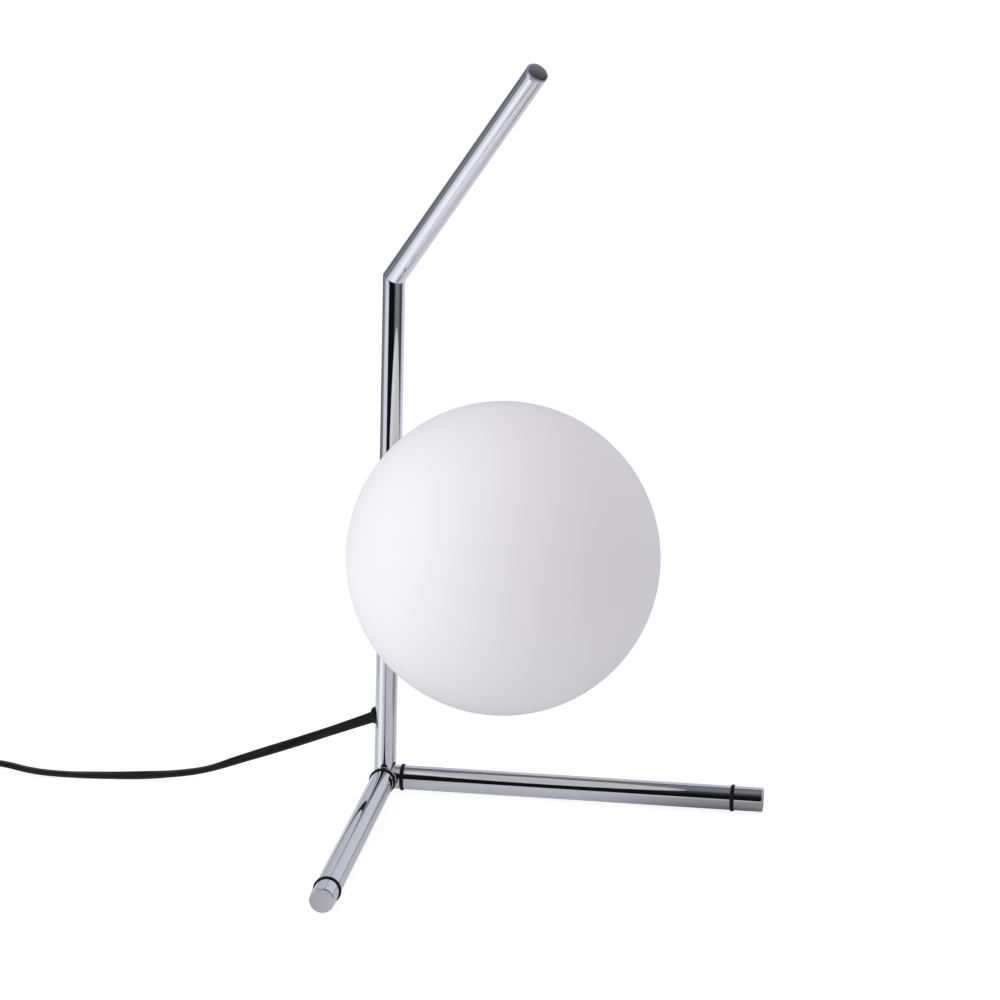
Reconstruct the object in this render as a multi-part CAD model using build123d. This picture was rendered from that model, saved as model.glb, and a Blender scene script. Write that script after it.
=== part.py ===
from build123d import *
import os
from math import cos, radians, sin, sqrt, tan

# Glass globe table lamp, in millimetres, +Z up, the globe in front (towards -Y).
# Four chromed members meet over one corner: two leg bars on the table, a column that
# stands on them, and an upper arm that leans forward over the globe.
# All sizes below are measured from the column's axis; place() moves the finished lamp
# so that the origin is the centre of its footprint on the table.

# Legs: solid round bars, mitred to each other under the column.
leg_radius = 8.0
leg_length = 251.8
leg_spread = 45.0  # degrees, each leg from the globe's direction
leg_end_chamfer = 0.7
ring_section = 1.2  # radius of the rubber ring's round section
ring_outer_radius = 8.75
ring_squash = 0.1  # the lamp's weight flattens each ring this much
ring_places = {"inner": 12.0, "outer": 231.6}  # from the corner, along the leg
leg_axis_height = ring_outer_radius - ring_squash

# Column and upper arm: one size of tube, mitred where it bends.
tube_radius = 7.25
tube_wall = 1.2
tube_bore = tube_radius - tube_wall
bend_height = 347.0
arm_length = 212.0
arm_tilt = 43.0  # degrees from upright
cap_thickness = 1.5
cap_chamfer = 0.5
cap_spigot = 8.0

# Foot fastening: a plug in the column, clamped to the leg corner from below.
plug_radius = tube_bore - 0.05
plug_height = 20.0
screw_radius = 3.0
screw_head_radius = 5.0
screw_head_height = 6.0
screw_head_low = 1.4  # the head's lower face above the table
washer_thickness = 1.0
fit_gap = 0.05  # clearance of small parts that are slid together

# Globe: a blown sphere with a short neck that faces the column.
globe_radius = 100.0
globe_wall = 2.5
globe_height = 187.0
globe_reach = 122.0  # from the column's axis to the globe's centre
neck_radius = 40.0
neck_end = 25.0  # how far the neck's ground end is from the column's axis

# Globe fitting, all on the globe's axis.
boss_radius = 10.0
boss_end = 22.5
carrier_radius = 42.5
carrier_thickness = 2.0
gasket_thickness = 0.5
spigot_radius = 36.7
spigot_bore = 33.0
spigot_end = 36.0
grip_section = 1.0  # radius of the silicone grip ring's section
grip_place = 29.0
nipple_radius = 5.0
nipple_bore = 3.6
nipple_end = 41.0

# Flat two-core cord: a round tube of the same section area stands for it.
cord_radius = 2.5
cord_width = 6.2
cord_thickness = 3.8
exit_azimuth = 130.0  # degrees from +X: backwards and to the left
exit_height = 49.5
exit_dip = 23.2  # degrees, the way the cord leaves downwards
relief_length = 32.0
flange_height = 12.0  # the grommet's oval flange, which hugs the column
flange_width = 9.4
flange_rise = 0.9  # the flange's middle lies this far above the cord's

# Inline switch, plug and coil, put away beside the lamp.
switch_centre = (-228.5, 195.7)
switch_angle = 139.0
switch_length = 64.0
switch_width = 25.0
switch_low = 7.5  # height of the joint between its shells
switch_high = 17.0
switch_wall = 1.8
pivot_height = 13.0
pivot_radius = 1.2
rocker_swing = 9.0  # degrees each side of level
coil_centre = (-216.3, 275.3)
coil_radius = 34.0  # to the middle of the turns
coil_low = 1.0  # the ties lift it this much
coil_rings = 3  # turns side by side in each layer
coil_layers = 2
tie_thickness = 0.9
plug_entry = (-180.7, 325.0)
plug_angle = 5.4
plug_height_mid = 7.0

# The cord's route, set by hand: from the strain relief to the switch, from the switch
# to the coil, and from the coil to the plug.
lamp_route = [
    (-24.6, 29.3, 36.2),
    (-45.9, 45.2, 26.7),
    (-74.0, 64.3, 15.8),
    (-89.8, 77.3, 8.0),
    (-106.3, 91.1, 4.3),
    (-124.5, 105.2, 2.7),
    (-143.8, 119.6, 2.5),
    (-164.0, 136.0, 2.5),
    (-180.4, 152.1, 3.3),
    (-195.3, 166.8, 7.5),
    (-210.4, 180.0, 7.5),
]
switch_route = [
    (-246.6, 211.4, 7.5),
    (-261.7, 224.6, 7.5),
    (-271.8, 240.7, 5.6),
    (-274.1, 259.5, 3.6),
    (-268.2, 277.6, 3.4),
    (-255.4, 292.9, 4.1),
    (-239.6, 305.2, 4.1),
]
plug_route = [
    (-235.2, 308.1, 10.3),
    (-217.9, 318.1, 9.4),
    (-198.6, 323.3, 7.0),
    (-180.7, 325.0, 7.0),
]

# The frame's origin is the middle of the lamp's footprint.
front_edge = -(globe_reach + globe_radius)
back_edge = leg_radius / sin(radians(leg_spread))
column_y = -(front_edge + back_edge) / 2

globe_axis = Axis((0, 0, globe_height), (0, -1, 0))
arm_direction = Vector(0, -sin(radians(arm_tilt)), cos(radians(arm_tilt)))
exit_direction = Vector(cos(radians(exit_azimuth)), sin(radians(exit_azimuth)), 0)
low = (Align.CENTER, Align.CENTER, Align.MIN)


def leg_direction(side):
    return Vector(side * sin(radians(leg_spread)), -cos(radians(leg_spread)), 0)


def leg_plane(side, along=0.0):
    """A plane across the leg; side is -1 for the left leg and 1 for the right one."""
    middle = Vector(0, 0, leg_axis_height) + leg_direction(side) * along
    return Plane(origin=middle, z_dir=leg_direction(side))


def across_globe_axis(reach):
    """A plane across the globe's axis, with its normal away from the column."""
    return Plane(origin=(0, -reach, globe_height), z_dir=(0, -1, 0))


def turned(points):
    """A solid turned about the globe's axis; a point is (distance from the column, radius)."""
    plane = Plane(origin=(0, 0, globe_height), x_dir=(0, -1, 0), z_dir=(1, 0, 0))
    return revolve(plane * make_face(Polyline(*points, close=True)), axis=globe_axis)


def tube(outer, inner, height):
    return Cylinder(outer, height, align=low) - Cylinder(inner, height, align=low)


# ---- frame of the lamp -------------------------------------------------------------


def ring_torus():
    return Torus(ring_outer_radius - ring_section, ring_section)


def foot_ring(side, place):
    ring = leg_plane(side, place) * ring_torus()
    below = Box(2 * leg_length, 2 * leg_length, 2, align=(Align.CENTER, Align.CENTER, Align.MAX))
    return ring - Pos(0, -leg_length / 2, 0) * below


def whole_bar(side):
    """The leg's bar before its mitre is cut, started behind the corner."""
    behind = 2 * leg_radius
    bar = Cylinder(leg_radius, leg_length + behind, align=low)
    outer_edge = bar.edges().filter_by(GeomType.CIRCLE).sort_by(Axis.Z)[-1]
    bar = chamfer(outer_edge, leg_end_chamfer)
    return leg_plane(side, -behind) * bar


def foot_screw_room():
    """The counterbore and the through hole for the foot screw, from below."""
    head_room = Cylinder(screw_head_radius + 0.3, screw_head_low + screw_head_height + washer_thickness,
                         align=low)
    shank_room = Cylinder(screw_radius + 0.3, 2 * leg_radius + leg_axis_height, align=low)
    return head_room + shank_room


def leg(side):
    bar = whole_bar(side)
    for place in ring_places.values():
        bar -= leg_plane(side, place) * ring_torus()
    own_half = Pos(side * leg_length, 0, 0) * Box(2 * leg_length, 4 * leg_length, 4 * leg_radius)
    return (bar & (Pos(0, 0, leg_axis_height) * own_half)) - foot_screw_room()


def mitre_plane():
    half = radians(arm_tilt / 2)
    return Plane(origin=(0, 0, bend_height), z_dir=(0, -sin(half), cos(half)))


def grommet_hole_plane(along):
    return Plane(origin=exit_direction * along + Vector(0, 0, exit_height), z_dir=exit_direction)


def column():
    """The column's tube: its foot is coped to the leg bars, its head is mitred."""
    start = leg_axis_height + 1.5
    raw = Pos(0, 0, start) * tube(tube_radius, tube_bore, bend_height - start + 2 * tube_radius)
    raw = split(raw, bisect_by=mitre_plane(), keep=Keep.BOTTOM)
    raw -= whole_bar(-1)
    raw -= whole_bar(1)
    raw -= grommet_hole_plane(0) * Cylinder(neck_hole_radius, 2 * tube_radius, align=low)
    return raw - across_globe_axis(0) * Cylinder(nipple_radius + 0.1, 2 * tube_radius, align=low)


def upper_arm():
    below = 2 * tube_radius
    raw = tube(tube_radius, tube_bore, arm_length - cap_thickness + below)
    raw = Plane(origin=Vector(0, 0, bend_height) - arm_direction * below, z_dir=arm_direction) * raw
    return split(raw, bisect_by=mitre_plane(), keep=Keep.TOP)


def arm_end_cap():
    flange = Cylinder(tube_radius, cap_thickness, align=low)
    rim = flange.edges().filter_by(GeomType.CIRCLE).sort_by(Axis.Z)[-1]
    flange = chamfer(rim, cap_chamfer)
    spigot = Pos(0, 0, -cap_spigot) * tube(tube_bore - fit_gap, tube_bore - 1.2, cap_spigot)
    end = Vector(0, 0, bend_height) + arm_direction * (arm_length - cap_thickness)
    return Plane(origin=end, z_dir=arm_direction) * (flange + spigot)


def leg_crest_height():
    return leg_axis_height + leg_radius


def column_foot_plug():
    body = Cylinder(plug_radius, plug_height, align=low)
    body -= Cylinder(screw_radius, plug_height, align=low)
    return Pos(0, 0, leg_crest_height() + fit_gap) * body


def foot_washer():
    ring = tube(screw_head_radius, screw_radius + 0.2, washer_thickness)
    return Pos(0, 0, screw_head_low + screw_head_height) * ring


def foot_screw():
    head = Cylinder(screw_head_radius, screw_head_height, align=low)
    socket = extrude(RegularPolygon(2.5, 6, major_radius=False), 3.0)
    shank_length = leg_crest_height() + plug_height - 6.0 - screw_head_low - screw_head_height
    shank = Pos(0, 0, screw_head_height) * Cylinder(screw_radius - fit_gap, shank_length, align=low)
    return Pos(0, 0, screw_head_low) * (head - socket + shank)


# ---- globe and its fitting ----------------------------------------------------------


def globe_shell():
    """The glass: a sphere that opens into a short neck towards the column."""
    inner = globe_radius - globe_wall
    neck_inner = neck_radius - globe_wall
    outer_start = globe_reach - sqrt(globe_radius**2 - neck_radius**2)
    inner_start = globe_reach - sqrt(inner**2 - neck_inner**2)
    front = globe_reach + globe_radius
    outline = [
        Line((neck_end, neck_radius), (outer_start, neck_radius)),
        ThreePointArc((outer_start, neck_radius), (globe_reach, globe_radius), (front, 0)),
        Line((front, 0), (front - globe_wall, 0)),
        ThreePointArc((front - globe_wall, 0), (globe_reach, inner), (inner_start, neck_inner)),
        Line((inner_start, neck_inner), (neck_end, neck_inner)),
        Line((neck_end, neck_inner), (neck_end, neck_radius)),
    ]
    plane = Plane(origin=(0, 0, globe_height), x_dir=(0, -1, 0), z_dir=(1, 0, 0))
    glass = revolve(plane * make_face(outline), axis=globe_axis)
    rim = glass.edges().filter_by(GeomType.CIRCLE).sort_by(Axis.Y)[-2:]
    return fillet(rim, 1.0)


def globe_boss():
    """The collar brazed to the column, coped to its round side and threaded for the nipple."""
    body = turned([(0, 0), (0, boss_radius), (boss_end - 0.6, boss_radius),
                   (boss_end, boss_radius - 0.6), (boss_end, 0)])
    body -= Cylinder(tube_radius, 3 * globe_height, align=(Align.CENTER, Align.CENTER, Align.CENTER))
    return body - across_globe_axis(0) * Cylinder(nipple_radius, 2 * boss_end, align=low)


def hollow_nipple():
    start = tube_bore + 0.4
    return across_globe_axis(start) * tube(nipple_radius, nipple_bore, nipple_end - start)


def nipple_bush():
    """The plastic bush that keeps the wires off the nipple's edge."""
    sleeve = nipple_bore - fit_gap
    return turned([(nipple_end - 4, 2.9), (nipple_end - 4, sleeve), (nipple_end, sleeve),
                   (nipple_end, nipple_radius - 0.3), (nipple_end + 1, nipple_radius - 0.3),
                   (nipple_end + 1, 2.9)])


def grip_torus(reach=grip_place):
    middle = neck_radius - globe_wall - fit_gap - grip_section
    return across_globe_axis(reach) * Torus(middle, grip_section)


def globe_carrier():
    """The cap that closes the neck: a flange outside and a grooved spigot inside."""
    face = boss_end + carrier_thickness
    body = turned([(boss_end, nipple_radius + 0.1), (boss_end, carrier_radius - 0.5),
                   (boss_end + 0.5, carrier_radius), (face, carrier_radius),
                   (face, spigot_radius), (spigot_end, spigot_radius),
                   (spigot_end, spigot_bore), (face, spigot_bore), (face, nipple_radius + 0.1)])
    return body - grip_torus()


def carrier_gasket():
    face = boss_end + carrier_thickness
    return across_globe_axis(face) * tube(neck_radius, spigot_radius + 0.2, gasket_thickness)


def carrier_washer():
    return across_globe_axis(boss_end + carrier_thickness) * tube(9.0, nipple_radius + fit_gap, 0.8)


def carrier_nut():
    nut = extrude(RegularPolygon(7.0, 6, major_radius=False), 3.5)
    nut -= Cylinder(nipple_radius, 3.5, align=low)
    return across_globe_axis(boss_end + carrier_thickness + 0.8) * nut


# Lampholder, on the nipple, and the screw bulb in it: distances along the globe's axis.
holder_start = 29.2
holder_joint = 50.0
holder_end = 84.0
holder_radius = 14.0


def lampholder_base():
    body = turned([(holder_start, nipple_radius), (holder_start, 8.0), (36.0, 8.6), (38.5, holder_radius),
                   (holder_joint, holder_radius), (holder_joint, 12.4), (39.8, 12.4),
                   (39.8, nipple_radius)])
    hole = Pos(0, -holder_start - 4, globe_height) * Cylinder(1.5, 2 * holder_radius, align=low)
    return body - hole


def lampholder_grub_screw():
    screw = Cylinder(1.5 - fit_gap, 3.2, align=low) - Pos(0, 0, 3.2) * Box(0.5, 3.0, 1.6)
    return Pos(0, -holder_start - 4, globe_height + nipple_radius) * screw


def lampholder_insert():
    """The insulating block that carries the contacts and the terminals."""
    block = turned([(47.0, 0), (47.0, 12.0), (56.0, 12.0), (56.0, 9.0), (59.0, 9.0), (59.0, 0)])
    for side in (-1, 1):
        block -= Pos(side * 6.0, -49.7, globe_height) * Box(5.2, 7.2, 5.2)
    return block


def lampholder_terminals():
    """Two brass blocks in the insert, with a hole for the wire along the axis."""
    blocks = []
    for side in (-1, 1):
        brass = Pos(side * 6.0, -50.2, globe_height) * Box(5.0, 6.0, 5.0)
        bore = Plane(origin=(side * 6.0, -47.2, globe_height), z_dir=(0, -1, 0))
        blocks.append(brass - bore * Cylinder(1.0, 5.0, align=low))
    return Compound(blocks)


def lampholder_contacts():
    """The centre tongue and the side tongue that press on the bulb's cap."""
    stem = Pos(0, -60.4, globe_height) * Box(4.0, 2.8, 0.5)
    plate = Pos(0, -61.8, globe_height) * Box(4.0, 0.4, 4.0)
    side = Pos(0, -62.0, globe_height + 7.65) * Box(3.0, 6.0, 0.7)
    return Compound([stem + plate, side])


def lampholder_screw_shell():
    body = turned([(65.0, 7.3), (65.0, 8.1), (82.0, 8.1), (82.0, 7.3)])
    for k in range(4):
        body -= across_globe_axis(68.0 + 4 * k) * Torus(8.4, 0.6)
    return body


def lampholder_shell():
    body = turned([(holder_joint + 0.2, 12.6), (holder_joint + 0.2, holder_radius),
                   (holder_end - 3, holder_radius), (holder_end, holder_radius - 3),
                   (holder_end, 8.3), (holder_end - 2, 8.3), (holder_end - 2, 11.0),
                   (holder_end - 6, 12.6)])
    return body


def bulb_cap():
    """The bulb's small screw cap, with its contact button."""
    body = turned([(62.0, 0), (62.0, 2.2), (64.0, 3.4), (66.0, 6.3), (67.0, 6.9),
                   (86.0, 6.9), (86.0, 0)])
    for k in range(5):
        body -= across_globe_axis(69.5 + 2.8 * k) * Torus(7.3, 0.8)
    return body


# The bulb's dome is a sphere about this point of the globe's axis.
dome_centre = 117.5
dome_radius = 22.5
dome_start = 110.2


def bulb_housing():
    """The bulb's driver housing, which widens to the dome's rim."""
    rim = sqrt(dome_radius**2 - (dome_centre - dome_start) ** 2)
    return turned([(86.1, 0), (86.1, 8.0), (90.0, 9.5), (100.0, 15.5), (108.0, rim - 0.6),
                   (dome_start, rim), (dome_start, rim - 1.2), (107.0, rim - 1.6),
                   (99.0, 14.0), (90.0, 8.0), (90.0, 0)])


def bulb_board():
    return turned([(107.6, 0), (107.6, 18.6), (109.0, 18.6), (109.0, 0)])


def bulb_diffuser():
    """The bulb's opal plastic dome."""
    dome = across_globe_axis(dome_centre) * (Sphere(dome_radius) - Sphere(dome_radius - 1.2))
    return split(dome, bisect_by=across_globe_axis(dome_start), keep=Keep.TOP)


# ---- cord, its grommet and the wires --------------------------------------------------

neck_hole_radius = 4.0
tail_radius = 2.0
tail_top = 72.0
wire_radius = 0.95


def exit_point(along, height):
    return exit_direction * along + Vector(0, 0, height)


def relief_direction():
    dip = radians(exit_dip)
    return exit_direction * cos(dip) + Vector(0, 0, -sin(dip))


def cord_grommet():
    """The rubber grommet: a neck in the column's hole, an oval flange, and the strain relief."""
    base = exit_point(tube_radius, exit_height)
    sleeve_back = 4.0
    start = Plane(origin=base - relief_direction() * sleeve_back, z_dir=relief_direction())
    sleeve = start * Cone(3.7, 3.1, sleeve_back + relief_length, align=low)
    rim_start, rim_end, dome_end = 4.5, tube_radius + 0.5, tube_radius + 2.7
    half = flange_height / 2
    flange = Pos(0, 0, rim_start) * Cylinder(half, rim_end - rim_start, align=low)
    flange += Pos(0, 0, rim_end) * Cone(half, 3.9, dome_end - rim_end, align=low)
    flange = scale(flange, by=(flange_width / flange_height, 1, 1))
    level = Vector(-exit_direction.Y, exit_direction.X, 0)
    middle = Vector(0, 0, exit_height + flange_rise)
    flange = Plane(origin=middle, x_dir=level, z_dir=exit_direction) * flange
    outside = flange + sleeve - Cylinder(tube_radius, 2 * exit_height, align=low)
    neck = grommet_hole_plane(4.4) * Cylinder(neck_hole_radius - fit_gap, tube_radius - 4.4, align=low)
    return outside + neck


def bend_radii(points):
    """One radius for each corner of a route: as large as its two runs allow."""
    radii = []
    for before, corner, after in zip(points, points[1:], points[2:]):
        run_in, run_out = Vector(corner) - Vector(before), Vector(after) - Vector(corner)
        turn = radians(run_in.get_angle(run_out))
        radii.append(0.45 * min(run_in.length, run_out.length) / tan(turn / 2))
    return radii


def swept(points, radii, radius):
    path = FilletPolyline(*points, radius=radii)
    return sweep(Plane(origin=path @ 0, z_dir=path % 0) * Circle(radius), path=path)


def cord_run(name, points):
    radii = bend_radii(points)
    run = swept(points, radii, cord_radius)
    length = FilletPolyline(*points, radius=radii).length
    expected = 3.14159265 * cord_radius**2 * length
    print(f"{name}: length {length:.1f}, volume / expected {run.volume / expected:.4f},",
          "bend radii", " ".join(f"{r:.0f}" for r in radii))
    return run


def cord_tail():
    """The sheathed end inside the column, up to where the cores part."""
    points = [exit_point(4.4, exit_height), exit_point(-1.6, exit_height), exit_point(-1.6, tail_top)]
    return swept(points, [3.4], tail_radius)


def cord_stop():
    """The crimped ring that keeps the cord from being pulled out."""
    ring = tube(4.2, tail_radius, 6.0)
    middle = exit_point(-1.6, 0)
    return Pos(middle.X, middle.Y, 60.0) * ring


def core_wire(side):
    """One insulated core, from the cord's tail to its terminal in the lampholder."""
    start = exit_point(-1.6, tail_top)
    apart = side * 1.05
    points = [
        (start.X + apart, start.Y, tail_top),
        (start.X + apart, start.Y, tail_top + 8),
        (side * 1.2, 1.5, tail_top + 32),
        (side * 1.2, 1.5, globe_height),
        (side * 1.2, -(nipple_end + 0.8), globe_height),
        (side * 6.0, -(nipple_end + 4.6), globe_height),
        (side * 6.0, -(nipple_end + 9.2), globe_height),
    ]
    return swept(points, [8, 20, 6.5, 2, 2], wire_radius)


# ---- coil, ties, switch and plug --------------------------------------------------------


def coil_half_width():
    return coil_rings * (cord_thickness + 0.1) / 2


def coil_height():
    return coil_layers * (cord_width + 0.05)


def cord_coil():
    half = coil_half_width()
    ring = tube(coil_radius + half, coil_radius - half, coil_height())
    ring = fillet(ring.edges().filter_by(GeomType.CIRCLE), 1.6)
    return Pos(coil_centre[0], coil_centre[1], coil_low) * ring


def coil_ties():
    """Two straps round the coil's turns; it lies on them."""
    half, high = coil_half_width() + 0.45, coil_height() + coil_low
    ties = []
    for angle in (75, 255):
        outer = Box(2 * half + 2 * tie_thickness, 9.0, high + tie_thickness, align=low)
        inner = Pos(0, 0, tie_thickness) * Box(2 * half, 9.0, high - tie_thickness, align=low)
        strap = Pos(coil_radius, 0, 0) * (outer - inner)
        ties.append(Pos(coil_centre[0], coil_centre[1], 0) * Rot(0, 0, angle) * strap)
    return Compound(ties)


def at_switch(shape):
    """Places a shape that is built about the switch's own middle."""
    return Pos(switch_centre[0], switch_centre[1], 0) * Rot(0, 0, switch_angle) * shape


def rounded_block(length, width, height, corner):
    block = Box(length, width, height, align=low)
    return fillet(block.edges().filter_by(Axis.Z), corner)


def entry_room():
    """The round way that the cord takes through both ends of the switch."""
    level = Plane(origin=(-switch_length, 0, switch_low), z_dir=(1, 0, 0))
    return level * Cylinder(cord_radius + 0.1, 2 * switch_length, align=low)


case_screw_place = (-24.0, -7.8)


def switch_lower_shell():
    shell = rounded_block(switch_length, switch_width, switch_low, 7.0)
    room = rounded_block(switch_length - 2 * switch_wall, switch_width - 2 * switch_wall, switch_low, 5.2)
    shell -= Pos(0, 0, switch_wall) * room
    for turn in (0, 180):
        boss = Pos(*case_screw_place, 0) * Cylinder(3.0, switch_low, align=low)
        hole = Pos(*case_screw_place, 0) * Cylinder(1.7, switch_low, align=low)
        head_room = Pos(*case_screw_place, 0) * Cylinder(2.9, 2.2, align=low)
        shell = shell + Rot(0, 0, turn) * boss - Rot(0, 0, turn) * (hole + head_room)
    return at_switch(shell - entry_room())


def switch_upper_shell():
    height = switch_high - switch_low
    shell = rounded_block(switch_length, switch_width, height, 7.0)
    shell = fillet(shell.faces().sort_by(Axis.Z)[-1].edges(), 2.5)
    room = rounded_block(switch_length - 2 * switch_wall, switch_width - 2 * switch_wall,
                         height - switch_wall, 5.2)
    shell -= room
    for side in (-1, 1):
        lug = Pos(0, side * 7.4, height - switch_wall - 4.6) * Box(8.0, 2.4, 4.6, align=low)
        shell += lug
    for turn in (0, 180):
        boss = Pos(*case_screw_place, 0) * Cylinder(3.0, height - switch_wall, align=low)
        hole = Pos(*case_screw_place, 0) * Cylinder(1.3, height - 3.0, align=low)
        shell = shell + Rot(0, 0, turn) * boss - Rot(0, 0, turn) * hole
    slot = Box(21.6, 11.0, 4 * height)
    pivot_room = Plane(origin=(0, -8.5, pivot_height - switch_low), z_dir=(0, 1, 0)) * Cylinder(
        pivot_radius, 17, align=low)
    shell = Pos(0, 0, switch_low) * (shell - slot - pivot_room)
    return at_switch(shell - entry_room())


def rocker_frame(shape):
    """Tilts a shape built about the rocker's pivot to its rest (off) position."""
    return at_switch(Pos(0, 0, pivot_height) * Rot(0, rocker_swing, 0) * shape)


def switch_rocker():
    """The rocker: a shallow V on top, one half down and the other up."""
    reach, dish = 9.6, 4.2
    high = dish + reach * tan(radians(rocker_swing))
    side_view = Polyline((-reach, high), (0, dish), (reach, high), (9.2, 0.6), (4.0, -2.4),
                         (-4.0, -2.4), (-9.2, 0.6), close=True)
    face = Plane(origin=(0, 5.2, 0), x_dir=(1, 0, 0), z_dir=(0, -1, 0)) * make_face(side_view)
    body = extrude(face, 10.4)
    bore = Plane(origin=(0, -6, 0), z_dir=(0, 1, 0)) * Cylinder(pivot_radius + fit_gap, 12, align=low)
    return rocker_frame(body - bore)


def switch_pivot():
    pin = Cylinder(pivot_radius, 16.8, align=low)
    return rocker_frame(Plane(origin=(0, -8.4, 0), z_dir=(0, 1, 0)) * pin)


def switch_bridge():
    """The brass strip under the rocker that closes the circuit."""
    return rocker_frame(Pos(0, 0, -2.8) * Box(7.6, 4.0, 0.7))


def switch_terminals():
    """Two brass blocks, each with a strip that reaches under the rocker."""
    blocks = []
    for side in (-1, 1):
        block = Pos(side * 17.0, 0, switch_wall) * Box(7.0, 5.0, 6.0, align=low)
        strip = Pos(side * 9.0, 0, switch_wall + 3.6) * Box(10.0, 4.0, 0.8, align=low)
        screw_hole = Pos(side * 17.0, 0, switch_wall + 2) * Cylinder(1.3, 6.0, align=low)
        blocks.append(at_switch(block + strip - screw_hole))
    return Compound(blocks)


def switch_terminal_screws():
    screws = []
    for side in (-1, 1):
        shank = Pos(side * 17.0, 0, switch_wall + 3) * Cylinder(1.25, 3.0, align=low)
        head = Pos(side * 17.0, 0, switch_wall + 6) * Cylinder(2.2, 1.6, align=low)
        slot = Pos(side * 17.0, 0, switch_wall + 7.4) * Box(5.0, 0.6, 0.9)
        screws.append(at_switch(shank + head - slot))
    return Compound(screws)


def switch_case_screws():
    screws = []
    for turn in (0, 180):
        head = Pos(*case_screw_place, 0.4) * Cylinder(2.7, 1.8, align=low)
        cross = Box(3.4, 0.7, 1.2) + Box(0.7, 3.4, 1.2)
        shank = Pos(*case_screw_place, 2.2) * Cylinder(1.25, 9.0, align=low)
        screw = head - Pos(*case_screw_place, 0.4) * cross + shank
        screws.append(at_switch(Rot(0, 0, turn) * screw))
    return Compound(screws)


def switch_cord_clamps():
    """Two saddles that press the cord's sheath inside the switch."""
    clamps = []
    for side in (-1, 1):
        bar = Pos(side * 26.6, 0, switch_low - 1.4) * Box(3.0, 9.0, 5.4, align=low)
        room = Plane(origin=(side * 26.6 - 3, 0, switch_low), z_dir=(1, 0, 0)) * Cylinder(
            cord_radius + 0.1, 6, align=low)
        clamps.append(at_switch(bar - room))
    return Compound(clamps)


def at_plug(shape):
    return Pos(plug_entry[0], plug_entry[1], plug_height_mid) * Rot(0, 0, plug_angle) * shape


plug_thickness = 13.7
plug_width = 35.3
pin_spacing = 19.0
pin_radius = 2.0
pin_length = 19.0
relief_back = 20.0
plug_front = 57.0


def plug_body():
    """The flat moulded plug with its ribbed strain relief."""
    outline = Polyline((20.0, -6.0), (27.0, -13.0), (plug_front, -plug_width / 2),
                       (plug_front, plug_width / 2), (27.0, 13.0), (20.0, 6.0), close=True)
    body = Pos(0, 0, -plug_thickness / 2) * extrude(make_face(outline), plug_thickness)
    body = fillet(body.edges().filter_by(Axis.Z), 2.0)
    body = fillet(body.faces().sort_by(Axis.Z)[-1].edges() + body.faces().sort_by(Axis.Z)[0].edges(), 1.2)
    along = Plane(origin=(0, 0, 0), z_dir=(1, 0, 0))
    relief = along * Cone(3.6, 5.6, relief_back + 1, align=low)
    for k in range(4):
        place = Plane(origin=(4.0 + 4 * k, 0, 0), z_dir=(1, 0, 0))
        relief -= place * (tube(9.0, 3.4 + 0.3 * k, 1.6))
    return at_plug(body + relief)


def plug_pins():
    pins = []
    for side in (-1, 1):
        start = Plane(origin=(plug_front, side * pin_spacing / 2, 0), z_dir=(1, 0, 0))
        pin = Cylinder(pin_radius, pin_length, align=low)
        pin = fillet(pin.edges().filter_by(GeomType.CIRCLE).sort_by(Axis.Z)[-1], 1.5)
        pins.append(at_plug(start * pin))
    return Compound(pins)


# ---- all the pieces ----------------------------------------------------------------------


def place(shape):
    """Moves a piece from the column's axis to the lamp's own frame."""
    return Pos(0, column_y, 0) * shape


pieces = {
    "column_tube": column(),
    "upper_arm_tube": upper_arm(),
    "arm_end_cap": arm_end_cap(),
    "column_foot_plug": column_foot_plug(),
    "foot_screw": foot_screw(),
    "foot_washer": foot_washer(),
    "globe_shell": globe_shell(),
    "globe_boss": globe_boss(),
    "hollow_nipple": hollow_nipple(),
    "nipple_bush": nipple_bush(),
    "globe_carrier": globe_carrier(),
    "carrier_grip_ring": grip_torus(),
    "carrier_gasket": carrier_gasket(),
    "carrier_washer": carrier_washer(),
    "carrier_nut": carrier_nut(),
    "lampholder_base": lampholder_base(),
    "lampholder_grub_screw": lampholder_grub_screw(),
    "lampholder_insert": lampholder_insert(),
    "lampholder_terminals": lampholder_terminals(),
    "lampholder_contacts": lampholder_contacts(),
    "lampholder_screw_shell": lampholder_screw_shell(),
    "lampholder_shell": lampholder_shell(),
    "bulb_cap": bulb_cap(),
    "bulb_housing": bulb_housing(),
    "bulb_board": bulb_board(),
    "bulb_diffuser": bulb_diffuser(),
    "wire_live": core_wire(1),
    "wire_neutral": core_wire(-1),
    "cord_tail": cord_tail(),
    "cord_stop": cord_stop(),
    "cord_grommet": cord_grommet(),
    "cord_lamp_run": cord_run("cord_lamp_run", lamp_route),
    "cord_switch_run": cord_run("cord_switch_run", switch_route),
    "cord_coil": cord_coil(),
    "cord_plug_run": cord_run("cord_plug_run", plug_route),
    "coil_ties": coil_ties(),
    "switch_lower_shell": switch_lower_shell(),
    "switch_upper_shell": switch_upper_shell(),
    "switch_rocker": switch_rocker(),
    "switch_pivot": switch_pivot(),
    "switch_bridge": switch_bridge(),
    "switch_terminals": switch_terminals(),
    "switch_terminal_screws": switch_terminal_screws(),
    "switch_case_screws": switch_case_screws(),
    "switch_cord_clamps": switch_cord_clamps(),
    "plug_body": plug_body(),
    "plug_pins": plug_pins(),
}
for side, side_name in ((-1, "left"), (1, "right")):
    pieces[f"{side_name}_leg"] = leg(side)
    for ring_name, ring_place in ring_places.items():
        pieces[f"foot_ring_{side_name}_{ring_name}"] = foot_ring(side, ring_place)

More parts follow.
